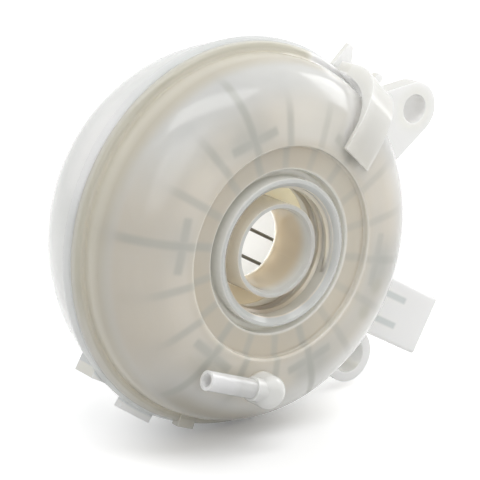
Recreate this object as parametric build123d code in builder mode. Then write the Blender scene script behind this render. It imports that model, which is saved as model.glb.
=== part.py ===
"""Coolant expansion tank: two welded plastic halves and the pins of its level sensor.

The origin is the mouth of the sealing bore inside the filler tube. +Z leaves the filler and +X points
to the sensor socket. All sizes are in millimetres.
"""

import os
from math import asin, cos, pi, radians, sin, sqrt

from build123d import *

os.makedirs("parts", exist_ok=True)

# Walls and the weld between the halves
wall = 3.0
mouth_height = 26.5  # bore mouth above the weld plane
flange_width = 4.3  # upper flange beyond the dome
flange_draft = 1.6  # foot of the lower flange beyond the upper one
flange_rise = 4.0  # flange thickness on the upper half
flange_drop = 4.0  # flange thickness on the lower half
upper_flange_round = 2.8
lower_flange_round = 0.6
seam_bevel = 0.5

# Sealing tube in the middle of the neck
bore_radius = 18.0
bore_length = 23.5
tube_wall = 2.7
tube_lead = 1.8
tube_lead_width = 0.9

# Threaded neck, and the groove and ledge round it
cap_gap = 7.8  # between the tube and the neck
thread_depth = 22.5
neck_wall = 4.0
neck_rise = 6.0  # neck rim above the bore mouth
neck_lead = 2.2
groove_width = 3.5
groove_depth = 6.0
ledge_width = 10.5
ledge_drop = 3.0
edge_round = 0.9

# Dome of the upper half: a short upright foot, a knuckle arc and a flat crown arc
crown_width = 9.0  # from the ledge's lip to the middle of the knuckle arc
knuckle_radius = 26.0
crown_radius = 400.0
dome_foot = 2.0

# Baffle ribs between the neck and the inside of the dome
rib_thickness = 2.2
rib_groups = 6
rib_start = 16.5  # angle of the first long rib
long_rib_inset = 2.0  # rib's end from the dome's outside
long_rib_bottom = 5.0  # above the weld plane
short_rib_inset = 10.5
short_rib_bottom = 16.0
cross_rib_offset = 5.5  # from the ledge's lip
cross_rib_length = 24.0

# Vent elbow on the dome
vent_offset = 12.8  # from the ledge's lip
vent_angle = -71.8
vent_lift = 5.4  # pipe's axis above the ledge's lip
vent_boss_radius = 7.5
vent_boss_rise = 5.4  # boss's top above the pipe's axis
vent_boss_round = 4.5
vent_collar_radius = 5.3
vent_collar = 2.0  # collar's length beyond the boss
vent_heading = 188.8
vent_pipe_radius = 4.3
vent_pipe_length = 25.0  # beyond the collar
vent_bore_radius = 2.9

# Hose clip that stands on the flange and reaches over the dome
clip_angle = 75.8
clip_width = 16.7
clip_gap = 2.5
clip_root = 6.0  # thickness where it stands on the flange
clip_tip = 2.0
clip_tip_offset = 4.5  # clip's end from the ledge's lip

# Stop hook on the upper flange
hook_angle = -81.0
hook_width = 8.5
hook_overhang = 1.8
hook_depth = 6.0
hook_height = 4.6

# Bowl of the lower half and its outlet spigot
bowl_inset = 2.2  # bowl's outside from the flange's edge
bowl_depth = 75.5
spigot_radius = 12.0
spigot_bore_radius = 9.5
spigot_length = 26.0
spigot_lead = 1.0

# Level sensor: socket and pins
socket_reach = 45.8  # beyond the flange
socket_depth = 34.0
socket_width = 29.0
socket_height = 17.0
socket_offset = -1.0
socket_wall = 2.0
socket_round = 1.5
pin_radius = 0.8
pin_clearance = 0.02
pin_spacing = 12.4
pin_drop = 13.0  # pins below the weld plane
pin_inner_end = 5.0
pin_contact = 24.0  # length of pin that stands in the socket
pin_boss_radius = 3.6
pin_boss_length = 9.0
pin_bevel = 0.3

# Fixing ear with its bush sleeve
ear_reach = 24.2  # bore's axis beyond the flange
ear_angle = 51.7
ear_radius = 12.5
ear_height = 8.5
ear_root_inset = 21.4
ear_root_radius = 24.0
ear_bore_radius = 6.8
ear_sleeve_wall = 2.6
ear_sleeve_height = 16.0

# Fixing eye beside the socket
eye_reach = 11.6
eye_angle = -16.7
eye_radius = 13.0
eye_bore_radius = 8.5
eye_height = 10.0
eye_root_inset = 15.4

# Small locators under the flange
foot_width = 14.0
foot_offset = -31.0
foot_inset = 5.9
foot_depth = 20.0
foot_height = 13.5
tab_angle = -95.5
tab_width = 18.5
tab_overhang = 3.2
tab_height = 4.0
fin_angle = 79.3
fin_overhang = 12.4
fin_tip = 2.6
fin_lean = 3.0  # steep side of the fin from its middle line
fin_spread = 10.5
fin_thickness = 2.6
nub_angle = 65.5
nub_width = 4.0
nub_round = 1.6
nub_overhang = 15.1
nub_height = 4.0
locator_root = 8.0  # how far a locator or the socket runs in under the flange

# Radii that follow from the sizes above, from the filler axis outwards
tube_radius = bore_radius + tube_wall
thread_radius = tube_radius + cap_gap
neck_radius = thread_radius + neck_wall
groove_radius = neck_radius + groove_width
lip_radius = groove_radius + ledge_width
dome_radius = lip_radius + crown_width + knuckle_radius
weld_radius = dome_radius + flange_width
flange_radius = weld_radius + flange_draft
bowl_radius = flange_radius - bowl_inset
socket_end = flange_radius + socket_reach
socket_floor = socket_end - socket_depth
locator_start = flange_radius - locator_root

# Levels and arc centres that follow from them
weld_z = -mouth_height
under_flange_z = weld_z - flange_drop
valley_z = weld_z + flange_rise
knuckle_centre = (lip_radius + crown_width, valley_z + dome_foot)
arc_distance = crown_radius - knuckle_radius
crown_centre = (0.0, knuckle_centre[1] - sqrt(arc_distance**2 - knuckle_centre[0] ** 2))
joint_tilt = asin(knuckle_centre[0] / arc_distance)
lip_z = crown_centre[1] + sqrt(crown_radius**2 - lip_radius**2)
ledge_z = lip_z - ledge_drop
groove_z = ledge_z - groove_depth
gap_z = neck_rise - thread_depth
vent_z = lip_z + vent_lift
pin_z = weld_z - pin_drop


def polar(radius, angle, z=0.0):
    """Point at a radius and an angle in degrees round the filler axis."""
    return (radius * cos(radians(angle)), radius * sin(radians(angle)), z)


def on_arc(centre, radius, tilt):
    """Section point on an arc, with its tilt measured from straight up."""
    return (centre[0] + radius * sin(tilt), centre[1] + radius * cos(tilt))


def dome_points(inset, end_radius):
    """Foot, knuckle middle, joint, crown middle and end of the dome's section, inset from its outside."""
    knuckle = knuckle_radius - inset
    crown = crown_radius - inset
    end_tilt = asin(end_radius / crown)
    return [
        on_arc(knuckle_centre, knuckle, pi / 2),
        on_arc(knuckle_centre, knuckle, (pi / 2 + joint_tilt) / 2),
        on_arc(knuckle_centre, knuckle, joint_tilt),
        on_arc(crown_centre, crown, (joint_tilt + end_tilt) / 2),
        on_arc(crown_centre, crown, end_tilt),
    ]


def draw_dome(points):
    """Draw the dome's two arcs in the open line."""
    ThreePointArc(*points[:3])
    ThreePointArc(*points[2:])


def dome_room(inset):
    """Solid that fills the space under the dome, ledge and groove, at an inset from their outside."""
    with BuildPart() as room:
        with BuildSketch(Plane.XZ):
            with BuildLine():
                points = dome_points(inset, lip_radius + inset)
                draw_dome(points)
                Polyline(
                    points[-1],
                    (lip_radius + inset, ledge_z - inset),
                    (groove_radius + inset, ledge_z - inset),
                    (groove_radius + inset, groove_z - inset),
                    (thread_radius + inset, groove_z - inset),
                    (thread_radius + inset, weld_z),
                    (points[0][0], weld_z),
                    points[0],
                )
            make_face()
        revolve(axis=Axis.Z)
    return room.part


inside_dome = dome_room(wall)
rib_room = dome_room(wall / 2)

# Baffle ribs, cut off by the dome's wall
with BuildPart() as baffles:
    rib_root = thread_radius + wall / 2
    rib_top = lip_z - weld_z
    upright = (Align.MIN, Align.CENTER, Align.MIN)
    with Locations((0, 0, weld_z + long_rib_bottom)):
        with PolarLocations(rib_root, rib_groups, start_angle=rib_start):
            Box(dome_radius - long_rib_inset - rib_root, rib_thickness, rib_top, align=upright)
        with PolarLocations(lip_radius + cross_rib_offset, rib_groups, start_angle=rib_start):
            Box(rib_thickness, cross_rib_length, rib_top, align=upright)
    with Locations((0, 0, weld_z + short_rib_bottom)):
        for third in (1, 2):
            start = rib_start + third * 360 / rib_groups / 3
            with PolarLocations(rib_root, rib_groups, start_angle=start):
                Box(dome_radius - short_rib_inset - rib_root, rib_thickness, rib_top, align=upright)
    add(rib_room, mode=Mode.INTERSECT)

# Upper half: dome, neck and sealing tube are one revolved section
with BuildPart() as upper_shell:
    outer = dome_points(0, lip_radius)
    inner = dome_points(wall, lip_radius + wall)
    neck_corners = [
        outer[-1],
        (lip_radius, ledge_z),
        (groove_radius, ledge_z),
        (groove_radius, groove_z),
        (neck_radius, groove_z),
        (neck_radius, neck_rise),
        (thread_radius + neck_lead, neck_rise),
        (thread_radius, neck_rise - neck_lead),
        (thread_radius, gap_z),
        (tube_radius, gap_z),
        (tube_radius, tube_lead),
        (bore_radius + tube_lead_width, tube_lead),
        (bore_radius, 0),
        (bore_radius, -bore_length),
        (tube_radius, -bore_length),
        (tube_radius, gap_z - wall),
        (thread_radius + wall, gap_z - wall),
        (thread_radius + wall, groove_z - wall),
        (groove_radius + wall, groove_z - wall),
        (groove_radius + wall, ledge_z - wall),
        (lip_radius + wall, ledge_z - wall),
        inner[-1],
    ]
    flange_corners = [
        inner[0],
        (inner[0][0], weld_z),
        (weld_radius, weld_z),
        (weld_radius, valley_z),
        (dome_radius, valley_z),
        outer[0],
    ]
    with BuildSketch(Plane.XZ) as upper_section:
        with BuildLine():
            draw_dome(outer)
            Polyline(*neck_corners)
            draw_dome(inner)
            Polyline(*flange_corners)
        make_face()
        rounded = [(corner, edge_round) for corner in neck_corners[:6]]
        rounded += [(flange_corners[3], upper_flange_round), (flange_corners[4], edge_round)]
        for corner, radius in rounded:
            fillet(upper_section.vertices().sort_by_distance(corner)[0], radius)
        chamfer(upper_section.vertices().sort_by_distance(flange_corners[2])[0], seam_bevel)
    revolve(axis=Axis.Z)

    # Vent elbow: an upright boss with a collar and a hose pipe on its side
    vent_base = polar(lip_radius + vent_offset, vent_angle)[:2]
    with BuildSketch(Plane.XY.offset(valley_z)):
        with Locations(vent_base):
            Circle(vent_boss_radius)
    extrude(amount=vent_z + vent_boss_rise - valley_z)
    fillet(edges(Select.LAST).sort_by(Axis.Z)[-1], vent_boss_round)
    add(inside_dome, mode=Mode.SUBTRACT)
    vent_plane = Plane((*vent_base, vent_z), z_dir=polar(1, vent_heading))
    collar_end = vent_boss_radius + vent_collar
    for radius, length, mode in (
        (vent_collar_radius, collar_end, Mode.ADD),
        (vent_pipe_radius, collar_end + vent_pipe_length, Mode.ADD),
        (vent_bore_radius, collar_end + vent_pipe_length, Mode.SUBTRACT),
    ):
        with BuildSketch(vent_plane):
            Circle(radius)
        extrude(amount=length, mode=mode)
    with BuildSketch(Plane((*vent_base, vent_z))):
        Circle(vent_bore_radius)
    extrude(amount=weld_z - vent_z, mode=Mode.SUBTRACT)

    # Hose clip: a strap that keeps one gap above the dome and thins towards its tip
    clip_end = lip_radius + clip_tip_offset
    under_clip = dome_points(-clip_gap, clip_end)
    over_root = dome_points(-clip_gap - clip_root, clip_end)
    over_tip = dome_points(-clip_gap - clip_tip, clip_end)
    clip_plane = Plane((0, 0, 0), x_dir=polar(1, clip_angle), z_dir=polar(1, clip_angle - 90))
    with BuildSketch(clip_plane):
        with BuildLine():
            draw_dome(under_clip)
            Line(under_clip[-1], over_tip[-1])
            Spline(over_tip[-1], over_tip[-2], over_root[1], over_root[0])
            Polyline(
                over_root[0],
                (over_root[0][0], weld_z),
                (under_clip[0][0], weld_z),
                under_clip[0],
            )
        make_face()
    extrude(amount=clip_width / 2, both=True)

    # Stop hook that bridges the flange
    with BuildSketch(Plane.XY.offset(weld_z)):
        with PolarLocations(weld_radius + hook_overhang, 1, start_angle=hook_angle):
            Rectangle(hook_depth, hook_width, align=(Align.MAX, Align.CENTER))
    extrude(amount=hook_height)

    add(baffles.part)

# Lower half: the ear and the solid bowl take what stands on them, and the bowl is then hollowed
with BuildPart() as lower_shell:
    # Fixing ear: a tapered plate with a rim round a pocket, and a sleeve for the bush
    ear_centre = polar(flange_radius + ear_reach, ear_angle)[:2]
    ear_root = polar(flange_radius - ear_root_inset, ear_angle)[:2]
    with BuildSketch(Plane.XY.offset(under_flange_z)) as ear_outline:
        with Locations(ear_centre):
            Circle(ear_radius)
        with Locations(ear_root):
            Circle(ear_root_radius)
        make_hull(ear_outline.edges())
    extrude(amount=-ear_height)
    with BuildSketch(Plane.XY.offset(under_flange_z - ear_height)) as ear_pocket:
        with Locations(ear_centre):
            Circle(ear_radius - ear_sleeve_wall)
        with Locations(ear_root):
            Circle(ear_root_radius - ear_sleeve_wall)
        make_hull(ear_pocket.edges())
    extrude(amount=ear_height - wall, mode=Mode.SUBTRACT)
    with BuildSketch(Plane.XY.offset(under_flange_z)):
        with Locations(ear_centre):
            Circle(ear_bore_radius + ear_sleeve_wall)
    extrude(amount=-ear_sleeve_height)

    # Bowl and flange, solid for now; they close the pocket's inner end
    with BuildSketch(Plane.XZ) as bowl_section:
        with BuildLine():
            bowl = EllipticalCenterArc((0, weld_z), bowl_radius, bowl_depth, 270, arc_size=90)
            Polyline(bowl @ 1, (0, weld_z), bowl @ 0)
        make_face()
        flange_foot = (flange_radius, under_flange_z)
        weld_edge = (weld_radius, weld_z)
        Polygon((0, weld_z), (0, under_flange_z), flange_foot, weld_edge, align=None)
        fillet(bowl_section.vertices().sort_by_distance(flange_foot)[0], lower_flange_round)
        chamfer(bowl_section.vertices().sort_by_distance(weld_edge)[0], seam_bevel)
    revolve(axis=Axis.Z)

    # Sensor socket, solid for now
    with BuildSketch(Plane.YZ.offset(socket_end)):
        with Locations((socket_offset, under_flange_z - socket_height / 2)):
            RectangleRounded(socket_width, socket_height, socket_round)
    extrude(amount=locator_start - socket_end)

    # Fixing eye beside the socket
    eye_centre = polar(flange_radius + eye_reach, eye_angle)[:2]
    eye_root = polar(flange_radius - eye_root_inset, eye_angle)[:2]
    with BuildSketch(Plane.XY.offset(under_flange_z)) as eye_outline:
        with Locations(eye_centre, eye_root):
            Circle(eye_radius)
        make_hull(eye_outline.edges())
    extrude(amount=-eye_height)

    # Foot, tab, fin and nub under the flange
    with BuildSketch(Plane.XY.offset(under_flange_z)):
        with Locations((foot_offset, foot_inset - flange_radius)):
            Rectangle(foot_width, foot_depth, align=(Align.CENTER, Align.MIN))
    extrude(amount=-foot_height)
    with BuildSketch(Plane.XY.offset(under_flange_z)):
        with PolarLocations(locator_start, 1, start_angle=tab_angle):
            Rectangle(locator_root + tab_overhang, tab_width, align=(Align.MIN, Align.CENTER))
    extrude(amount=-tab_height)
    with BuildSketch(Plane.XY.offset(under_flange_z)):
        with Locations(Rotation(0, 0, fin_angle)):
            Polygon(
                (locator_start, fin_lean),
                (locator_start, -fin_spread),
                (flange_radius, -fin_spread),
                (flange_radius + fin_overhang, -fin_tip / 2),
                (flange_radius + fin_overhang, fin_tip / 2),
                (flange_radius, fin_lean),
                align=None,
            )
    extrude(amount=-fin_thickness)
    with BuildSketch(Plane.XY.offset(under_flange_z)):
        with PolarLocations(locator_start, 1, start_angle=nub_angle):
            nub_length = locator_root + nub_overhang
            RectangleRounded(nub_length, nub_width, nub_round, align=(Align.MIN, Align.CENTER))
    extrude(amount=-nub_height)

    # Outlet spigot
    spigot_end_z = weld_z - bowl_depth - spigot_length
    with BuildSketch(Plane.XY.offset(spigot_end_z)):
        Circle(spigot_radius)
    extrude(amount=spigot_length + bowl_depth / 2)
    chamfer(edges(Select.LAST).sort_by(Axis.Z)[0], spigot_lead)

    # Hollow of the bowl
    with BuildSketch(Plane.XZ):
        with BuildLine():
            hollow = EllipticalCenterArc((0, weld_z), bowl_radius - wall, bowl_depth - wall, 270, arc_size=90)
            Polyline(hollow @ 1, (0, weld_z), hollow @ 0)
        make_face()
    revolve(axis=Axis.Z, mode=Mode.SUBTRACT)
    with BuildSketch(Plane.XY.offset(spigot_end_z)):
        Circle(spigot_bore_radius)
    extrude(amount=spigot_length + bowl_depth / 2, mode=Mode.SUBTRACT)

    # Inside of the socket, bosses round the pins and the pins' holes
    with BuildSketch(Plane.YZ.offset(socket_end)):
        with Locations((socket_offset, under_flange_z - socket_height / 2)):
            Rectangle(socket_width - 2 * socket_wall, socket_height - 2 * socket_wall)
    extrude(amount=-socket_depth, mode=Mode.SUBTRACT)
    bowl_reach = (bowl_radius - wall) * sqrt(1 - (pin_drop / (bowl_depth - wall)) ** 2)
    with BuildSketch(Plane.YZ.offset(bowl_reach)):
        with Locations((socket_offset, pin_z)):
            with GridLocations(pin_spacing, 0, 2, 1):
                Circle(pin_boss_radius)
    extrude(amount=-pin_boss_length)
    with BuildSketch(Plane.YZ.offset(socket_floor)):
        with Locations((socket_offset, pin_z)):
            with GridLocations(pin_spacing, 0, 2, 1):
                Circle(pin_radius + pin_clearance)
    extrude(amount=-(socket_floor - pin_inner_end), mode=Mode.SUBTRACT)

    # Bores of the two fixings
    with BuildSketch(Plane.XY.offset(under_flange_z)):
        with Locations(ear_centre):
            Circle(ear_bore_radius)
        with Locations(eye_centre):
            Circle(eye_bore_radius)
    extrude(amount=-max(ear_sleeve_height, eye_height), mode=Mode.SUBTRACT)

for shell, name in ((upper_shell, "upper_shell"), (lower_shell, "lower_shell")):
    shell.part.label = name
    export_step(shell.part, f"parts/{name}.step")

# Level sensor pins, from inside the tank through to the socket
for name, side in (("left_sensor_pin", 1), ("right_sensor_pin", -1)):
    with BuildPart() as sensor_pin:
        with BuildSketch(Plane.YZ.offset(pin_inner_end)):
            with Locations((socket_offset + side * pin_spacing / 2, pin_z)):
                Circle(pin_radius)
        extrude(amount=socket_floor + pin_contact - pin_inner_end)
        chamfer(edges().filter_by(GeomType.CIRCLE), pin_bevel)
    sensor_pin.part.label = name
    export_step(sensor_pin.part, f"parts/{name}.step")
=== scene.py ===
"""Coolant expansion tank: materials, neck thread, floor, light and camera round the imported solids."""

import math

import bmesh
import bpy
from mathutils import Matrix, Vector


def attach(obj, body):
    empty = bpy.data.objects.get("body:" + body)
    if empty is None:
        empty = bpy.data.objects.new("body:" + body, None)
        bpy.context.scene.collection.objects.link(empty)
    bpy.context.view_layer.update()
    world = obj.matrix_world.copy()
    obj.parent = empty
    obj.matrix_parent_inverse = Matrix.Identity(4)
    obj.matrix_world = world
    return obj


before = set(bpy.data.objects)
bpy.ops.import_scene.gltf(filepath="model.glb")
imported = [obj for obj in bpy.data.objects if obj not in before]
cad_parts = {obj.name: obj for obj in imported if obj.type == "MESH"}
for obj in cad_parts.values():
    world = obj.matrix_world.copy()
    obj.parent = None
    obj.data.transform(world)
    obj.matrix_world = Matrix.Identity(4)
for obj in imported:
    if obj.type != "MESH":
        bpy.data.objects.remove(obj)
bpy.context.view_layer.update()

scene = bpy.context.scene
scene.view_settings.view_transform = "Standard"

# The tank lies on its side, so the floor is oblique in the part's frame
FLANGE_CENTRE = Vector((0.0, 0.0, -0.0265))
FLOOR_NORMAL = Vector((-0.4907, 0.8701, -0.0238)).normalized()
FLOOR_DISTANCE = 0.0876

CAMERA_PLACE = Vector((-0.5572, -0.0226, 0.6449))
CAMERA_RIGHT = Vector((0.695, 0.408, 0.592))
CAMERA_FORWARD = Vector((0.640, 0.024, -0.768))
CAMERA_LENS = 150.0
CAMERA_SENSOR = 36.0

# Camera axes, and the camera's direction along the floor
forward = CAMERA_FORWARD.normalized()
right = (CAMERA_RIGHT - CAMERA_RIGHT.dot(forward) * forward).normalized()
up = right.cross(forward)
level_forward = (forward - forward.dot(FLOOR_NORMAL) * FLOOR_NORMAL).normalized()


class Nodes:
    """Node tree built by short calls, whose values are sockets, numbers, vectors or colours."""

    def __init__(self, tree):
        self.tree = tree

    def add(self, kind, **settings):
        """Add a node and set its properties."""
        made = self.tree.nodes.new(kind)
        for key, value in settings.items():
            setattr(made, key, value)
        return made

    def feed(self, socket, value):
        """Link a socket to another one, or set it."""
        if isinstance(value, bpy.types.NodeSocket):
            self.tree.links.new(value, socket)
        elif socket.type == "RGBA":
            socket.default_value = (*value, 1.0)
        else:
            socket.default_value = value

    def math(self, operation, *values, clamp=False):
        """Math node; returns its output."""
        made = self.add("ShaderNodeMath", operation=operation, use_clamp=clamp)
        for socket, value in zip(made.inputs, values):
            self.feed(socket, value)
        return made.outputs[0]

    def times(self, first, *others):
        """Product of two or more values."""
        for other in others:
            first = self.math("MULTIPLY", first, other)
        return first

    def off(self, value, middle):
        """Distance of a value from a middle."""
        return self.math("ABSOLUTE", self.math("SUBTRACT", value, middle))

    def vector(self, operation, first, second, result="Value"):
        """Vector math node on two vectors; returns the output of that name."""
        made = self.add("ShaderNodeVectorMath", operation=operation)
        self.feed(made.inputs[0], first)
        self.feed(made.inputs[1], second)
        return made.outputs[result]

    def band(self, value, edge, start=0.0, end=1.0):
        """Smooth step from start to end while value crosses an edge, given as low and high."""
        made = self.add("ShaderNodeMapRange", interpolation_type="SMOOTHSTEP")
        names = ("Value", "From Min", "From Max", "To Min", "To Max")
        for name, number in zip(names, (value, *edge, start, end)):
            self.feed(made.inputs[name], number)
        return made.outputs["Result"]

    def below(self, value, edge):
        """Mask that is 1 below an edge and 0 above it."""
        return self.band(value, edge, 1.0, 0.0)

    def blend(self, factor, first, second, kind="RGBA"):
        """Mix of two colours, or of two numbers with the kind FLOAT."""
        made = self.add("ShaderNodeMix", data_type=kind)
        for name, value in (("Factor", factor), ("A", first), ("B", second)):
            self.feed(next(s for s in made.inputs if s.name == name and s.enabled), value)
        return next(s for s in made.outputs if s.enabled)

    def ramp(self, value, stops):
        """Colour ramp through stops of (place, colour)."""
        made = self.add("ShaderNodeValToRGB")
        elements = made.color_ramp.elements
        while len(elements) < len(stops):
            elements.new(0.5)
        for element, (place, _) in zip(elements, stops):
            element.position = place
        for element, (_, colour) in zip(elements, stops):
            element.color = (*colour, 1.0)
        self.feed(made.inputs["Fac"], value)
        return made.outputs["Color"]

    def noise(self, vector, scale, detail):
        """Noise value at a scale per unit of the vector."""
        made = self.add("ShaderNodeTexNoise")
        self.feed(made.inputs["Vector"], vector)
        self.feed(made.inputs["Scale"], scale)
        self.feed(made.inputs["Detail"], detail)
        return made.outputs["Fac"]

    def seen_plainly(self):
        """Mask of the rays that show a thing: from the camera, by a mirror or through glass."""
        path = self.add("ShaderNodeLightPath").outputs
        onward = self.math("ADD", path["Is Glossy Ray"], path["Is Transmission Ray"], clamp=True)
        return self.math("ADD", path["Is Camera Ray"], onward, clamp=True)


class Paint(Nodes):
    """Node material with a Principled shader, and the place on its object as sockets."""

    def __init__(self, name):
        self.material = bpy.data.materials.new(name)
        self.material.use_nodes = True
        super().__init__(self.material.node_tree)
        self.shader = self.tree.nodes["Principled BSDF"]
        self.output = self.tree.nodes["Material Output"]
        coords = self.add("ShaderNodeTexCoord").outputs
        self.place = coords["Object"]
        self.normal = coords["Normal"]
        split = self.add("ShaderNodeSeparateXYZ")
        self.feed(split.inputs["Vector"], self.place)
        self.x, self.y, self.z = split.outputs
        self.radius = self.distance((0.0, 0.0))
        self.angle = self.math("ARCTAN2", self.y, self.x)

    def distance(self, centre):
        """Distance from an upright line through a centre."""
        shift = [self.math("SUBTRACT", s, c) for s, c in zip((self.x, self.y), centre)]
        return self.math("SQRT", self.math("ADD", *(self.times(s, s) for s in shift)))

    def side(self, middle, spread, edge):
        """Mask of one side of the tank: its middle, half width and half soft edge, in degrees."""
        away = self.math("SUBTRACT", self.angle, math.radians(middle))
        away = self.math("ABSOLUTE", self.math("WRAP", away, math.pi, -math.pi))
        return self.below(away, (math.radians(spread - edge), math.radians(spread + edge)))

    def settings(self, **values):
        """Feed the shader's sockets, whose names have a space for each underscore."""
        for name, value in values.items():
            self.feed(self.shader.inputs[name.replace("_", " ")], value)


def dress(name, material):
    """Give a node of the frame one material."""
    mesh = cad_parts[name].data
    mesh.materials.clear()
    mesh.materials.append(material)


# Satin surface of all the plastic: grain and ripples per metre
PLASTIC_IOR = 1.5
GRAIN_SCALE = 900.0
RIPPLE_SCALE = 60.0
FINE_DETAIL = 2.0
GRAIN_EDGE = (0.3, 0.7)
ROUGHNESS = (0.10, 0.15)
RIPPLE_STRENGTH = 0.05
RIPPLE_DEPTH = 0.0004
CLOUD_EDGE = (0.3, 0.7)
CLOUD_DETAIL = 3.0


def finish_plastic(paint, colour, scatter):
    """Satin surface, and light scattered in the wall over a length in metres; returns the material."""
    grain = paint.noise(paint.place, GRAIN_SCALE, FINE_DETAIL)
    bump = paint.add("ShaderNodeBump")
    paint.feed(bump.inputs["Strength"], RIPPLE_STRENGTH)
    paint.feed(bump.inputs["Distance"], RIPPLE_DEPTH)
    paint.feed(bump.inputs["Height"], paint.noise(paint.place, RIPPLE_SCALE, FINE_DETAIL))
    paint.settings(
        Base_Color=colour,
        Roughness=paint.band(grain, GRAIN_EDGE, *ROUGHNESS),
        Normal=bump.outputs["Normal"],
        IOR=PLASTIC_IOR,
        Subsurface_Weight=1.0,
        Subsurface_Radius=(1.0, 1.0, 1.0),
        Subsurface_Scale=scatter,
    )
    return paint.material


# Baffle ribs under the dome, whose shadow is painted where they show through it: angles, and where it shows,
# in metres
RIB_START = math.radians(16.5)
LONG_RIB_STEP = math.radians(60.0)
RIB_STEP = math.radians(20.0)
GROOVE_RADIUS = 0.036
RIBS_START = (GROOVE_RADIUS, GROOVE_RADIUS + 0.001)
LONG_RIB_EDGE = (0.0006, 0.0030)
LONG_RIB_FADE = (0.074, 0.0805)
LONG_RIB_SHOWS = (1.0, 0.2)
SHORT_RIB_EDGE = (0.0006, 0.0028)
SHORT_RIB_FADE = (0.058, 0.072)
SHORT_RIB_SHOWS = (0.85, 0.0)
CROSS_RIB_RADIUS = 0.0531
CROSS_RIB_EDGE = (0.0008, 0.0030)
CROSS_RIB_SHOWS = (0.9, 0.0)
CROSS_RIB_END = (0.011, 0.013)
CROSS_RIB_MIDDLE = (0.003, 0.010)
CROSS_RIB_MIDDLE_SHOWS = (0.75, 1.0)


def rib_shadow_masks(paint):
    """Where the ribs' painted shadow shows through the dome, and the distance from the nearest long rib."""
    angle = paint.math("SUBTRACT", paint.angle, RIB_START)

    def from_rib(step):
        """Angle from the nearest rib of a set, in radians."""
        turns = paint.math("DIVIDE", angle, step)
        rest = paint.math("SUBTRACT", turns, paint.math("ROUND", turns))
        return paint.times(rest, step)

    from_long = from_rib(LONG_RIB_STEP)
    along = paint.times(paint.radius, paint.math("COSINE", from_long))
    near_long = paint.math("ABSOLUTE", paint.times(paint.radius, paint.math("SINE", from_long)))
    near_any = paint.times(paint.radius, paint.math("ABSOLUTE", from_rib(RIB_STEP)))
    long_ribs = paint.times(
        paint.below(near_long, LONG_RIB_EDGE),
        paint.band(paint.radius, LONG_RIB_FADE, *LONG_RIB_SHOWS),
    )
    short_ribs = paint.times(
        paint.below(near_any, SHORT_RIB_EDGE),
        paint.band(paint.radius, SHORT_RIB_FADE, *SHORT_RIB_SHOWS),
    )
    cross_ribs = paint.times(
        paint.band(paint.off(along, CROSS_RIB_RADIUS), CROSS_RIB_EDGE, *CROSS_RIB_SHOWS),
        paint.below(near_long, CROSS_RIB_END),
        paint.band(near_long, CROSS_RIB_MIDDLE, *CROSS_RIB_MIDDLE_SHOWS),
    )
    ribs = paint.math("MAXIMUM", paint.math("MAXIMUM", long_ribs, short_ribs), cross_ribs)
    return paint.times(ribs, paint.band(paint.radius, RIBS_START)), near_long


# Tints of the dome, most of them painted light and shade where more or less light comes through it
WARM = (0.675, 0.635, 0.565)
GREY = (0.55, 0.545, 0.505)
LEDGE = (0.57, 0.52, 0.43)
LEDGE_BRIGHT = (0.63, 0.58, 0.485)
SHOULDER = (0.60, 0.605, 0.595)
TOP_LIGHT = (0.74, 0.73, 0.69)
SHADY = (0.59, 0.555, 0.49)
LOW_SHADE = (0.465, 0.44, 0.38)
FAR_LIGHT = (0.75, 0.745, 0.72)
RIB_SHADOW = (0.44, 0.445, 0.405)
PIN_ROOT_SHADE = (0.50, 0.49, 0.42)

# Sides of the dome where light and shade are painted: middle, half width and half soft edge in degrees;
# radii in metres
BRIGHT_SIDE = (30.0, 65.0, 20.0)
FAINT_RIB_SIDE = (38.0, 73.0, 18.0)
TOP_LIGHT_SIDE = (92.0, 28.0, 14.0)
SHADY_SIDE = (212.0, 36.0, 18.0)
LOW_SHADE_SIDE = (-82.0, 23.0, 10.0)
FAR_LIGHT_SIDE = (-32.0, 28.0, 12.0)
TOP_LIGHT_START = (0.046, 0.052)
TOP_LIGHT_END = (0.060, 0.068)
TOP_LIGHT_SHOWS = (0.5, 0.1)
SHADY_START = (0.049, 0.066)
LOW_SHADE_START = (0.068, 0.0765)
FAR_LIGHT_START = (0.058, 0.070)

# Soft shade beside the long ribs, and slow clouds
RIB_SHADE_EDGE = (0.002, 0.016)
RIB_SHADE_SHOWS = (0.75, 0.0)
RIB_SHADE_FADE = (0.050, 0.075)
RIB_SHADE_STAYS = (1.0, 0.3)
DOME_CLOUD_SCALE = 28.0
DOME_CLOUD_EDGE = (0.35, 0.75)
DOME_CLOUD_SHOWS = (0.0, 0.6)
SHADE_START = (0.045, 0.056)
SHADE_STRENGTH = (0.2, 1.0)
LEDGE_END = (0.044, 0.052)
SHOULDER_RISE = (0.058, 0.074)
SHOULDER_SHOWS = (0.0, 0.9)
RIB_STRENGTH = (0.6, 0.38)
PIN_ROOTS = ((0.0582, 0.0046), (0.0579, -0.0080))
PIN_ROOT_EDGE = (0.001, 0.0055)
PIN_ROOT_SHOWS = (0.6, 0.0)
WHOLE = (0.0, 1.0)


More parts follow.
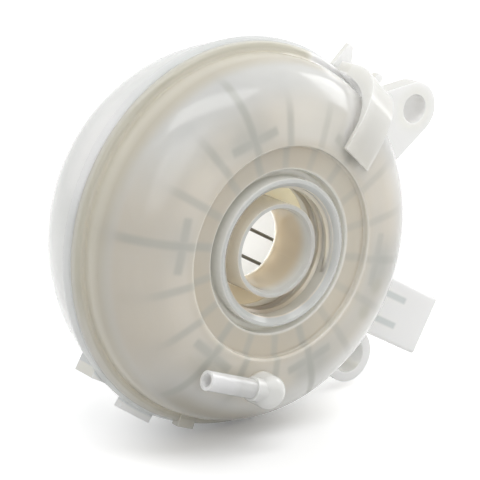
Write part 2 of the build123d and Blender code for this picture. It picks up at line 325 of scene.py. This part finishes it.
def dome_colour(paint, bright):
    """Dome from the ledge to the shoulder, with the ribs' painted shadow, clouds, and painted light and
    shade on its sides.
    """
    ribs, near_long = rib_shadow_masks(paint)
    shade = paint.times(
        paint.band(near_long, RIB_SHADE_EDGE, *RIB_SHADE_SHOWS),
        paint.band(paint.radius, RIB_SHADE_FADE, *RIB_SHADE_STAYS),
    )
    clouds = paint.noise(paint.place, DOME_CLOUD_SCALE, FINE_DETAIL)
    clouds = paint.band(clouds, DOME_CLOUD_EDGE, *DOME_CLOUD_SHOWS)
    shade = paint.math("ADD", shade, clouds, clamp=True)
    shade = paint.times(shade, paint.band(paint.radius, SHADE_START, *SHADE_STRENGTH))

    # Ledge painted lighter on its bright side
    ledge = paint.blend(bright, LEDGE, LEDGE_BRIGHT)
    colour = paint.blend(paint.below(paint.radius, LEDGE_END), WARM, ledge)
    colour = paint.blend(shade, colour, GREY)
    colour = paint.blend(paint.band(paint.radius, SHOULDER_RISE, *SHOULDER_SHOWS), colour, SHOULDER)
    # Painted light on the top of the dome
    top = paint.times(
        paint.side(*TOP_LIGHT_SIDE),
        paint.band(paint.radius, TOP_LIGHT_START),
        paint.band(paint.radius, TOP_LIGHT_END, *TOP_LIGHT_SHOWS),
    )
    colour = paint.blend(top, colour, TOP_LIGHT)
    # Painted shade on the shady and low sides, painted light on the far side
    for side, start, tint in (
        (SHADY_SIDE, SHADY_START, SHADY),
        (LOW_SHADE_SIDE, LOW_SHADE_START, LOW_SHADE),
        (FAR_LIGHT_SIDE, FAR_LIGHT_START, FAR_LIGHT),
    ):
        mask = paint.times(paint.side(*side), paint.band(paint.radius, start))
        colour = paint.blend(mask, colour, tint)

    # Painted shadow of the ribs under the dome, fainter on one side
    ribs = paint.times(ribs, paint.band(paint.side(*FAINT_RIB_SIDE), WHOLE, *RIB_STRENGTH))
    colour = paint.blend(ribs, colour, RIB_SHADOW)
    # Painted shade of the sensor pins' bosses seen through the dome
    for root in PIN_ROOTS:
        mask = paint.band(paint.distance(root), PIN_ROOT_EDGE, *PIN_ROOT_SHOWS)
        colour = paint.blend(mask, colour, PIN_ROOT_SHADE)
    return colour


# Tints of the rings round the filler axis, among them painted light in the groove, the neck's gap and the
# flange's low side, and painted shade in the crease at the dome's foot, deep in the tube and on the gap's
# low side
RIM = (0.50, 0.51, 0.495)
TAN = (0.80, 0.70, 0.54)
GROOVE_LIGHT = (0.86, 0.845, 0.78)
CREASE_SHADE = (0.555, 0.525, 0.45)
VALLEY = (0.655, 0.63, 0.555)
FLANGE = (0.53, 0.51, 0.43)
FLANGE_LOW_LIGHT = (0.63, 0.61, 0.55)
EDGE = (0.67, 0.65, 0.575)
TUBE_TAN = (0.505, 0.43, 0.315)
TUBE_END_SHADE = (0.36, 0.31, 0.235)
GAP_LOW_SHADE = (0.62, 0.54, 0.41)
GAP_HIGH_LIGHT = (0.97, 0.89, 0.72)
GAP_FLOOR_LIGHT = (0.94, 0.79, 0.57)

# Radius at which each tint holds, from the sealing tube out to the flange
RAMP_END = 0.09
RINGS = (
    (0.0, RIM),
    (0.0203, RIM),
    (0.0210, TAN),
    (0.0284, TAN),
    (0.0290, RIM),
    (0.0320, RIM),
    (0.0330, GROOVE_LIGHT),
    (0.0372, GROOVE_LIGHT),
    (0.0770, SHOULDER),
    (0.0805, CREASE_SHADE),
    (0.0816, VALLEY),
    (0.0828, VALLEY),
    (0.0838, FLANGE),
    (0.0850, FLANGE),
    (0.0857, EDGE),
)
TUBE_BORE = (0.0183, 0.0186)
TUBE_DEPTH = (-0.008, 0.0)
TUBE_END_SHADE_DEPTH = (-0.0232, -0.0195)
FLANGE_START = (0.0832, 0.0840)
FLANGE_LOW_LIGHT_EDGE = (-0.070, -0.045)
GAP_INNER = (0.0208, 0.0212)
GAP_OUTER = (0.0286, 0.0289)
GAP_FLOOR_EDGE = (-0.0163, -0.0158)
GAP_RISE = (-0.022, 0.022)


def ring_colour(paint):
    """Sealing tube, neck with the gap between them, groove, and the valley and flange outside, with painted
    light and shade on them.
    """
    # The ramp paints light in the groove and shade in the crease at the dome's foot
    stops = [(radius / RAMP_END, tint) for radius, tint in RINGS]
    colour = paint.ramp(paint.math("DIVIDE", paint.radius, RAMP_END), stops)
    in_tube = paint.times(paint.below(paint.z, TUBE_DEPTH), paint.below(paint.radius, TUBE_BORE))
    # Painted shade deep in the sealing tube
    tube = paint.blend(paint.below(paint.z, TUBE_END_SHADE_DEPTH), TUBE_TAN, TUBE_END_SHADE)
    colour = paint.blend(in_tube, colour, tube)
    # Flange painted lighter on its low side than elsewhere
    low_flange_light = paint.times(
        paint.band(paint.radius, FLANGE_START), paint.below(paint.y, FLANGE_LOW_LIGHT_EDGE)
    )
    colour = paint.blend(low_flange_light, colour, FLANGE_LOW_LIGHT)
    # Gap painted light on its high side, wall and floor, and shade on its low side
    in_gap = paint.times(paint.band(paint.radius, GAP_INNER), paint.below(paint.radius, GAP_OUTER))
    gap = paint.blend(paint.band(paint.z, GAP_FLOOR_EDGE), GAP_FLOOR_LIGHT, GAP_HIGH_LIGHT)
    gap = paint.blend(paint.band(paint.y, GAP_RISE), GAP_LOW_SHADE, gap)
    return paint.blend(in_gap, colour, gap)


# Skin of the dome, as the solid has it: two arcs in the section, in metres
CROWN_RADIUS = 0.4
CROWN_CENTRE_Z = -0.39036
KNUCKLE_RADIUS = 0.026
KNUCKLE_CENTRE = (0.0555, -0.0205)
KNUCKLE_MARGIN = 0.0003
PROUD_HEIGHT = (0.0008, 0.0022)
PROUD_START = (0.047, 0.048)


def proud_mask(paint):
    """What stands clear of the dome's skin: vent, clip and hook."""
    squares = paint.times(paint.radius, paint.radius)
    crown = paint.math("SQRT", paint.math("SUBTRACT", CROWN_RADIUS**2, squares))
    crown = paint.math("ADD", crown, CROWN_CENTRE_Z)
    out = paint.math("MAXIMUM", paint.math("SUBTRACT", paint.radius, KNUCKLE_CENTRE[0]), 0.0)
    rest = paint.math("SUBTRACT", KNUCKLE_RADIUS**2, paint.times(out, out))
    knuckle = paint.math("SQRT", paint.math("MAXIMUM", rest, 0.0))
    knuckle = paint.math("ADD", knuckle, KNUCKLE_CENTRE[1] + KNUCKLE_MARGIN)
    height = paint.math("SUBTRACT", paint.z, paint.math("MINIMUM", crown, knuckle))
    return paint.times(paint.band(height, PROUD_HEIGHT), paint.band(paint.radius, PROUD_START))


# Vent and hose clip: the vent's axis in the part's frame, tints with painted light in the vent's pipe and
# painted shade towards the clip's tip, and where they hold
VENT_ALONG = (-0.988228, -0.152986, 0.0)
VENT_START = 0.0123148
VENT_ACROSS = (0.152986, -0.988228, 0.0)
VENT_OFFSET = 0.0585037
VENT_HEIGHT = 0.0123289
VENT_BORE_EDGE = (0.0030, 0.0032)
VENT_BOSS_END = (-0.004, 0.001)
VENT = (0.945, 0.945, 0.925)
VENT_BOSS = (0.75, 0.75, 0.725)
VENT_BORE_LIGHT = (0.99, 0.99, 0.98)
CLIP = (0.775, 0.77, 0.735)
CLIP_TIP_SHADE = (0.66, 0.64, 0.585)
CLIP_REACH = (0.050, 0.080)
VENT_TO_CLIP = (-0.03, 0.03)


def vent_and_clip_colour(paint):
    """Vent on the low side of the filler and clip on its high side, with painted shade towards the clip's
    tip.
    """
    along = paint.math("SUBTRACT", paint.vector("DOT_PRODUCT", paint.place, VENT_ALONG), VENT_START)
    vent = paint.blend(paint.band(along, VENT_BOSS_END), VENT_BOSS, VENT)
    # Painted shade towards the clip's tip
    clip = paint.blend(paint.band(paint.radius, CLIP_REACH), CLIP_TIP_SHADE, CLIP)
    return paint.blend(paint.band(paint.y, VENT_TO_CLIP), vent, clip)


def vent_bore_mask(paint):
    """Inside of the vent's pipe, where light is painted."""
    across = paint.vector("DOT_PRODUCT", paint.place, VENT_ACROSS)
    across = paint.math("SUBTRACT", across, VENT_OFFSET)
    height = paint.math("SUBTRACT", paint.z, VENT_HEIGHT)
    squares = paint.math("ADD", paint.times(across, across), paint.times(height, height))
    return paint.below(paint.math("SQRT", squares), VENT_BORE_EDGE)


# Upper half as a whole: where dome and rings meet, the painted highlight on the lip of the ledge, and
# painted light in the space under the clip and on inward faces by the valley
UNDER_CLIP_LIGHT = (0.97, 0.965, 0.94)
CLIP_ROOT_LIGHT = (0.74, 0.73, 0.685)
LIP_HIGHLIGHT = (0.72, 0.70, 0.645)
DOME_START = (GROOVE_RADIUS, GROOVE_RADIUS + 0.0012)
DOME_END = (0.0770, 0.0800)
CLIP_ROOT_SIDE = (80.0, 14.0, 3.0)
CLIP_ROOT_RADII = (0.0765, 0.0795)
CLIP_ARM_SIDE = (76.6, 8.5, 3.5)
CLIP_ARM_RADII = (0.049, 0.059)
CLIP_ROOT_EDGE = (0.0850, 0.0862)
LIP_MIDDLE = 0.0463
LIP_EDGE = (0.0003, 0.0009)
LIP_SHOWS = (0.15, 0.75)
INWARD = (-0.07, -0.05)
INWARD_RADII = (0.0795, 0.0810)

# How far light runs in the wall: longest in hidden places, which it reaches from the other side
SCATTER_NECK = 0.012
SCATTER_DOME = 0.006
SCATTER_HIDDEN = 0.03
SCATTER_NECK_WALL = 0.08
NECK_END = (0.032, 0.037)
HIDDEN_END = (0.0846, 0.0852)
NECK_WALL_INNER = (0.0278, 0.0284)
NECK_WALL_OUTER = (0.0286, 0.0290)
NECK_WALL_FOOT = (-0.0163, -0.0150)


def upper_plastic():
    """Milky plastic of the upper half, with painted shadow of the baffle ribs showing through the dome, and
    painted light and shade.
    """
    paint = Paint("upper_plastic")
    radius = paint.radius
    bright = paint.side(*BRIGHT_SIDE)
    on_dome = paint.times(paint.band(radius, DOME_START), paint.below(radius, DOME_END))
    colour = paint.blend(on_dome, ring_colour(paint), dome_colour(paint, bright))
    # Painted light under the clip, where its shade would fall: white on the dome, less on the flange at the
    # clip's root
    under_clip_light = paint.math(
        "MAXIMUM",
        paint.times(paint.side(*CLIP_ROOT_SIDE), paint.band(radius, CLIP_ROOT_RADII)),
        paint.times(paint.side(*CLIP_ARM_SIDE), paint.band(radius, CLIP_ARM_RADII)),
    )
    root = paint.blend(paint.band(radius, CLIP_ROOT_EDGE), UNDER_CLIP_LIGHT, CLIP_ROOT_LIGHT)
    colour = paint.blend(under_clip_light, colour, root)
    # Painted highlight on the lip of the ledge, stronger on the bright side
    lip = paint.times(
        paint.below(paint.off(radius, LIP_MIDDLE), LIP_EDGE), paint.band(bright, WHOLE, *LIP_SHOWS)
    )
    colour = paint.blend(lip, colour, LIP_HIGHLIGHT)
    proud = proud_mask(paint)
    colour = paint.blend(proud, colour, vent_and_clip_colour(paint))
    # Painted light on faces turned inward by the valley
    facing = paint.vector("DOT_PRODUCT", paint.place, paint.normal)
    inward = paint.times(paint.below(facing, INWARD), paint.band(radius, INWARD_RADII))
    colour = paint.blend(inward, colour, UNDER_CLIP_LIGHT)
    # Painted light inside the vent's pipe
    colour = paint.blend(vent_bore_mask(paint), colour, VENT_BORE_LIGHT)

    hidden = paint.times(
        under_clip_light, paint.math("SUBTRACT", 1.0, proud), paint.below(radius, HIDDEN_END)
    )
    hidden = paint.math("MAXIMUM", hidden, inward)
    neck_wall = paint.times(
        paint.band(radius, NECK_WALL_INNER),
        paint.below(radius, NECK_WALL_OUTER),
        paint.band(paint.z, NECK_WALL_FOOT),
    )
    scatter = paint.band(radius, NECK_END, SCATTER_NECK, SCATTER_DOME)
    scatter = paint.math("MAXIMUM", scatter, paint.times(hidden, SCATTER_HIDDEN))
    scatter = paint.math("MAXIMUM", scatter, paint.times(neck_wall, SCATTER_NECK_WALL))
    return finish_plastic(paint, colour, scatter)


# Tints of the lower half, several of them painted light and shade
BOWL = (0.755, 0.775, 0.77)
BOWL_CLOUD = (0.71, 0.725, 0.715)
BOWL_TOP_SHADE = (0.66, 0.675, 0.665)
BOWL_HIGHLIGHT = (0.875, 0.885, 0.885)
BOWL_INSIDE_LIGHT = (0.945, 0.93, 0.885)
THIN_BACKLIT = (0.978, 0.965, 0.91)
THIN_LIT = (0.78, 0.775, 0.74)
FOOT_LIGHT = (0.93, 0.905, 0.83)
EAR = (0.93, 0.915, 0.865)
EAR_BORE_LIGHT = (0.99, 0.985, 0.965)
PIN_SHADE = (0.60, 0.64, 0.64)

# Places on the lower half, in metres, and one side in degrees
BOWL_CENTRE = (0.0, 0.0, -0.03)
BOWL_CLOUD_SCALE = 24.0
BOWL_TOP_SHADE_RISE = (0.035, 0.085)
BOWL_HIGHLIGHT_SIDE = (174.0, 14.0, 8.0)
BOWL_HIGHLIGHT_RISE = (-0.048, -0.036)
BOWL_INWARD = (-0.04, -0.02)
THIN_START = (0.0872, 0.0885)
LIT_FACING = (0.6, 0.9)
FOOT_X = -0.031
FOOT_WIDTH = (0.0072, 0.0080)
FOOT_TOP = (-0.0775, -0.0765)
FOOT_FRONT = (-0.0310, -0.0304)
EAR_AXIS = (0.0691673, 0.087581)
EAR_EDGE = (0.0070, 0.0135)
EAR_BORE_EDGE = (0.0066, 0.0070)
PIN_SIDES = (0.0055, -0.0073)
PIN_WIDTH = (0.0008, 0.0022)
PIN_INNER_END = (0.0885, 0.0905)
PIN_OUTER_END = (0.1135, 0.1155)
PIN_SHOWS = (0.75, 0.0)
SOCKET_TOP = (-0.0318, -0.0312)
SCATTER_BOWL = 0.01
SCATTER_THIN = 0.002


def bowl_colour(paint):
    """Bowl outside, with clouds, painted shade on its top and a painted highlight on its light side, and
    inside painted lighter.
    """
    clouds = paint.band(paint.noise(paint.place, BOWL_CLOUD_SCALE, CLOUD_DETAIL), CLOUD_EDGE)
    colour = paint.blend(clouds, BOWL, BOWL_CLOUD)
    # Painted shade on the bowl's top
    colour = paint.blend(paint.band(paint.y, BOWL_TOP_SHADE_RISE), colour, BOWL_TOP_SHADE)
    # Painted highlight on the bowl's light side
    light = paint.times(paint.side(*BOWL_HIGHLIGHT_SIDE), paint.band(paint.z, BOWL_HIGHLIGHT_RISE))
    colour = paint.blend(light, colour, BOWL_HIGHLIGHT)
    # Inside painted lighter, as light through the walls
    outward = paint.vector("SUBTRACT", paint.place, BOWL_CENTRE, "Vector")
    facing = paint.vector("DOT_PRODUCT", outward, paint.normal)
    return paint.blend(paint.below(facing, BOWL_INWARD), colour, BOWL_INSIDE_LIGHT)


def lower_plastic():
    """Milky plastic of the lower half, painted whiter in the thin parts that stand out from the bowl, as
    light through them.
    """
    paint = Paint("lower_plastic")
    # Thin parts painted whiter as light through them, and painted darker on faces turned up to the lamps
    thin = paint.band(paint.radius, THIN_START)
    upward = paint.vector("DOT_PRODUCT", paint.normal, FLOOR_NORMAL)
    thin_tint = paint.blend(paint.band(upward, LIT_FACING), THIN_BACKLIT, THIN_LIT)
    colour = paint.blend(thin, bowl_colour(paint), thin_tint)
    # Foot painted lighter like the thin parts
    foot = paint.times(
        paint.below(paint.off(paint.x, FOOT_X), FOOT_WIDTH),
        paint.below(paint.y, FOOT_TOP),
        paint.below(paint.z, FOOT_FRONT),
    )
    colour = paint.blend(foot, colour, FOOT_LIGHT)
    from_ear = paint.distance(EAR_AXIS)
    colour = paint.blend(paint.times(paint.below(from_ear, EAR_EDGE), thin), colour, EAR)
    # Painted light in the ear's bore
    colour = paint.blend(paint.below(from_ear, EAR_BORE_EDGE), colour, EAR_BORE_LIGHT)

    # The sensor pins show through the top of their socket
    for side in PIN_SIDES:
        pin_mask = paint.times(
            paint.below(paint.off(paint.y, side), PIN_WIDTH),
            paint.band(paint.x, PIN_OUTER_END, *PIN_SHOWS),
            paint.band(paint.x, PIN_INNER_END),
            paint.band(paint.z, SOCKET_TOP),
        )
        colour = paint.blend(pin_mask, colour, PIN_SHADE)
    scatter = paint.band(paint.radius, THIN_START, SCATTER_BOWL, SCATTER_THIN)
    return finish_plastic(paint, colour, scatter)


# Plastic of the thread, with painted shade on its low side
THREAD = (0.92, 0.84, 0.68)
THREAD_CLOUD = (0.87, 0.78, 0.63)
THREAD_LOW_SHADE = (0.56, 0.48, 0.37)
THREAD_CLOUD_SCALE = 90.0
THREAD_RISE = (-0.024, -0.004)


def thread_plastic():
    """Plastic of the thread, with painted shade on the low side of the neck."""
    paint = Paint("thread_plastic")
    clouds = paint.band(paint.noise(paint.place, THREAD_CLOUD_SCALE, CLOUD_DETAIL), CLOUD_EDGE)
    colour = paint.blend(clouds, THREAD, THREAD_CLOUD)
    # Painted shade on the low side of the neck
    colour = paint.blend(paint.band(paint.y, THREAD_RISE), THREAD_LOW_SHADE, colour)
    return finish_plastic(paint, colour, SCATTER_THIN)


# Steel of the sensor pins, with streaks along X
STEEL_DARK = (0.17, 0.155, 0.125)
STEEL_LIGHT = (0.42, 0.395, 0.345)
STEEL_STREAKS = (60.0, 1400.0, 1400.0)
STEEL_ROUGHNESS = 0.38


def steel(name):
    """Drawn wire, dark and a little streaked along its length."""
    paint = Paint(name)
    stretched = paint.vector("MULTIPLY", paint.place, STEEL_STREAKS, "Vector")
    streaks = paint.noise(stretched, 1.0, FINE_DETAIL)
    paint.settings(
        Base_Color=paint.ramp(streaks, [(0.0, STEEL_DARK), (1.0, STEEL_LIGHT)]),
        Metallic=1.0,
        Roughness=STEEL_ROUGHNESS,
    )
    return paint.material


dress("upper_shell", upper_plastic())
dress("lower_shell", lower_plastic())
for pin in ("left_sensor_pin", "right_sensor_pin"):
    dress(pin, steel(f"{pin}_steel"))


# Thread on the neck's inner wall, in metres
THREAD_WALL = 0.0285
THREAD_SINK = 0.0002
THREAD_DEPTH = 0.0013
THREAD_LEAST_DEPTH = 0.00002
THREAD_FOOT = 0.0027
THREAD_CREST = 0.0009
THREAD_PITCH = 0.005
THREAD_TOP = 0.0012
THREAD_TURNS = 2.6
THREAD_STEPS = 90  # sections in a turn
THREAD_FADE = 0.07  # turns over which an end rises from the wall


def thread_section(turn):
    """Points of the ridge's section after some turns, as radius and height."""
    rise = min(1.0, turn / THREAD_FADE, (THREAD_TURNS - turn) / THREAD_FADE)
    depth = THREAD_DEPTH * (rise * rise * (3.0 - 2.0 * rise)) + THREAD_LEAST_DEPTH
    middle = THREAD_TOP - turn * THREAD_PITCH
    upper = (
        (THREAD_WALL + THREAD_SINK, THREAD_FOOT / 2),
        (THREAD_WALL, THREAD_FOOT / 2),
        (THREAD_WALL - depth, THREAD_CREST / 2),
    )
    lower = tuple((radius, -height) for radius, height in reversed(upper))
    return [(radius, middle + height) for radius, height in upper + lower]


def make_thread(material):
    """Helical ridge that rises from the wall at both ends."""
    bm = bmesh.new()
    loops = []
    for step in range(round(THREAD_TURNS * THREAD_STEPS) + 1):
        turn = step / THREAD_STEPS
        cosine = math.cos(2.0 * math.pi * turn)
        sine = math.sin(2.0 * math.pi * turn)
        loops.append([bm.verts.new((r * cosine, r * sine, z)) for r, z in thread_section(turn)])
    for one, two in zip(loops, loops[1:]):
        for k in range(len(one)):
            n = (k + 1) % len(one)
            bm.faces.new((one[k], one[n], two[n], two[k]))
    bm.faces.new(loops[0][::-1])
    bm.faces.new(loops[-1])
    bmesh.ops.recalc_face_normals(bm, faces=bm.faces)
    mesh = bpy.data.meshes.new("neck_thread")
    bm.to_mesh(mesh)
    bm.free()
    mesh.materials.append(material)
    thread = bpy.data.objects.new("neck_thread", mesh)
    scene.collection.objects.link(thread)
    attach(thread, "root")


# Floor: its look, what it gives back to the tank, and the painted glow that lifts it to white round the
# shadow, in metres
FLOOR_RADIUS = 6.0
FLOOR_SEGMENTS = 96
FLOOR_ROUGHNESS = 0.9
FLOOR_WHITE = (0.97, 0.97, 0.97)
FLOOR_RETURN = (0.60, 0.60, 0.60)
SHADOW_MIDDLE = 0.010 * right - 0.026 * level_forward
SHADOW_EDGE = (0.025, 0.080)
SHADOW_LIFT = (0.095, 0.37)
WHITE = (1.0, 1.0, 1.0)


def floor_material(shadow_middle):
    """White that keeps the tank's shadow, and lets through what looks at it from below."""
    paint = Paint("floor_white")
    seen = paint.seen_plainly()
    away = paint.vector("DISTANCE", paint.place, shadow_middle)
    # A painted glow lifts the seen floor to white, less near the tank so that its shadow stays dark
    paint.settings(
        Base_Color=paint.blend(seen, FLOOR_RETURN, FLOOR_WHITE),
        Roughness=FLOOR_ROUGHNESS,
        Specular_IOR_Level=0.0,
        Emission_Color=WHITE,
        Emission_Strength=paint.times(seen, paint.band(away, SHADOW_EDGE, *SHADOW_LIFT)),
    )
    mix = paint.add("ShaderNodeMixShader")
    paint.feed(mix.inputs["Fac"], paint.add("ShaderNodeNewGeometry").outputs["Backfacing"])
    paint.feed(mix.inputs[1], paint.shader.outputs["BSDF"])
    paint.feed(mix.inputs[2], paint.add("ShaderNodeBsdfTransparent").outputs["BSDF"])
    paint.feed(paint.output.inputs["Surface"], mix.outputs["Shader"])
    return paint.material


def make_floor():
    """Round floor under the tank, square to the floor's normal."""
    bm = bmesh.new()
    bmesh.ops.create_circle(bm, cap_ends=True, segments=FLOOR_SEGMENTS, radius=FLOOR_RADIUS)
    mesh = bpy.data.meshes.new("floor")
    bm.to_mesh(mesh)
    bm.free()
    floor = bpy.data.objects.new("floor", mesh)
    scene.collection.objects.link(floor)
    turn = FLOOR_NORMAL.to_track_quat("Z", "Y").to_matrix()
    middle = FLANGE_CENTRE - FLOOR_DISTANCE * FLOOR_NORMAL
    floor.matrix_world = Matrix.Translation(middle) @ turn.to_4x4()
    mesh.materials.append(floor_material(turn.transposed() @ SHADOW_MIDDLE))


make_thread(thread_plastic())
make_floor()


def area_light(name, towards, distance, width, depth, power):
    """Soft box in a direction from the flange's centre, aimed back at it, its width level in the picture."""
    light = bpy.data.lights.new(name, "AREA")
    light.shape = "RECTANGLE"
    light.size = width
    light.size_y = depth
    light.energy = power
    lamp = bpy.data.objects.new(name, light)
    scene.collection.objects.link(lamp)
    z_axis = towards.normalized()
    x_axis = (right - right.dot(z_axis) * z_axis).normalized()
    y_axis = z_axis.cross(x_axis)
    lamp.matrix_world = Matrix((x_axis, y_axis, z_axis)).transposed().to_4x4()
    lamp.matrix_world.translation = FLANGE_CENTRE + distance * z_axis
    lamp.visible_camera = False


OVERHEAD = 0.85 * FLOOR_NORMAL + 0.2 * right - 0.3 * level_forward
FRONT = 0.5 * FLOOR_NORMAL + 0.25 * right - level_forward
SIDE = 0.40 * FLOOR_NORMAL + 0.77 * right + 0.44 * level_forward
area_light("overhead", OVERHEAD, distance=1.3, width=1.3, depth=0.45, power=5.0)
area_light("front", FRONT, distance=1.8, width=1.2, depth=1.2, power=5.5)
area_light("side", SIDE, distance=1.3, width=0.8, depth=0.48, power=3.5)

# Light that the thin walls let into the tank
GLOW_PLACE = (0.0, 0.0, -0.062)
GLOW_RADIUS = 0.025
GLOW_POWER = 0.085
glow = bpy.data.lights.new("inside", "POINT")
glow.shadow_soft_size = GLOW_RADIUS
glow.energy = GLOW_POWER
glow_lamp = bpy.data.objects.new("inside", glow)
scene.collection.objects.link(glow_lamp)
glow_lamp.location = GLOW_PLACE
glow_lamp.visible_camera = False
glow_lamp.visible_glossy = False

# White surroundings, whose light is stronger behind the tank than on the camera's side
WORLD_TURN = (-0.5, 0.7)
WORLD_LIGHT = (0.56, 0.88)
scene.world = bpy.data.worlds.new("studio")
scene.world.use_nodes = True
sky = Nodes(scene.world.node_tree)
background = sky.tree.nodes["Background"]
sky_direction = sky.add("ShaderNodeTexCoord").outputs["Generated"]
behind = sky.vector("DOT_PRODUCT", sky_direction, level_forward)
around = sky.band(behind, WORLD_TURN, *WORLD_LIGHT)
sky.feed(background.inputs["Strength"], sky.blend(sky.seen_plainly(), around, 1.0, "FLOAT"))
sky.feed(background.inputs["Color"], WHITE)

camera_data = bpy.data.cameras.new("camera")
camera_data.lens = CAMERA_LENS
camera_data.sensor_width = CAMERA_SENSOR
camera = bpy.data.objects.new("camera", camera_data)
scene.collection.objects.link(camera)
camera.matrix_world = Matrix((right, up, -forward)).transposed().to_4x4()
camera.matrix_world.translation = CAMERA_PLACE
scene.camera = camera
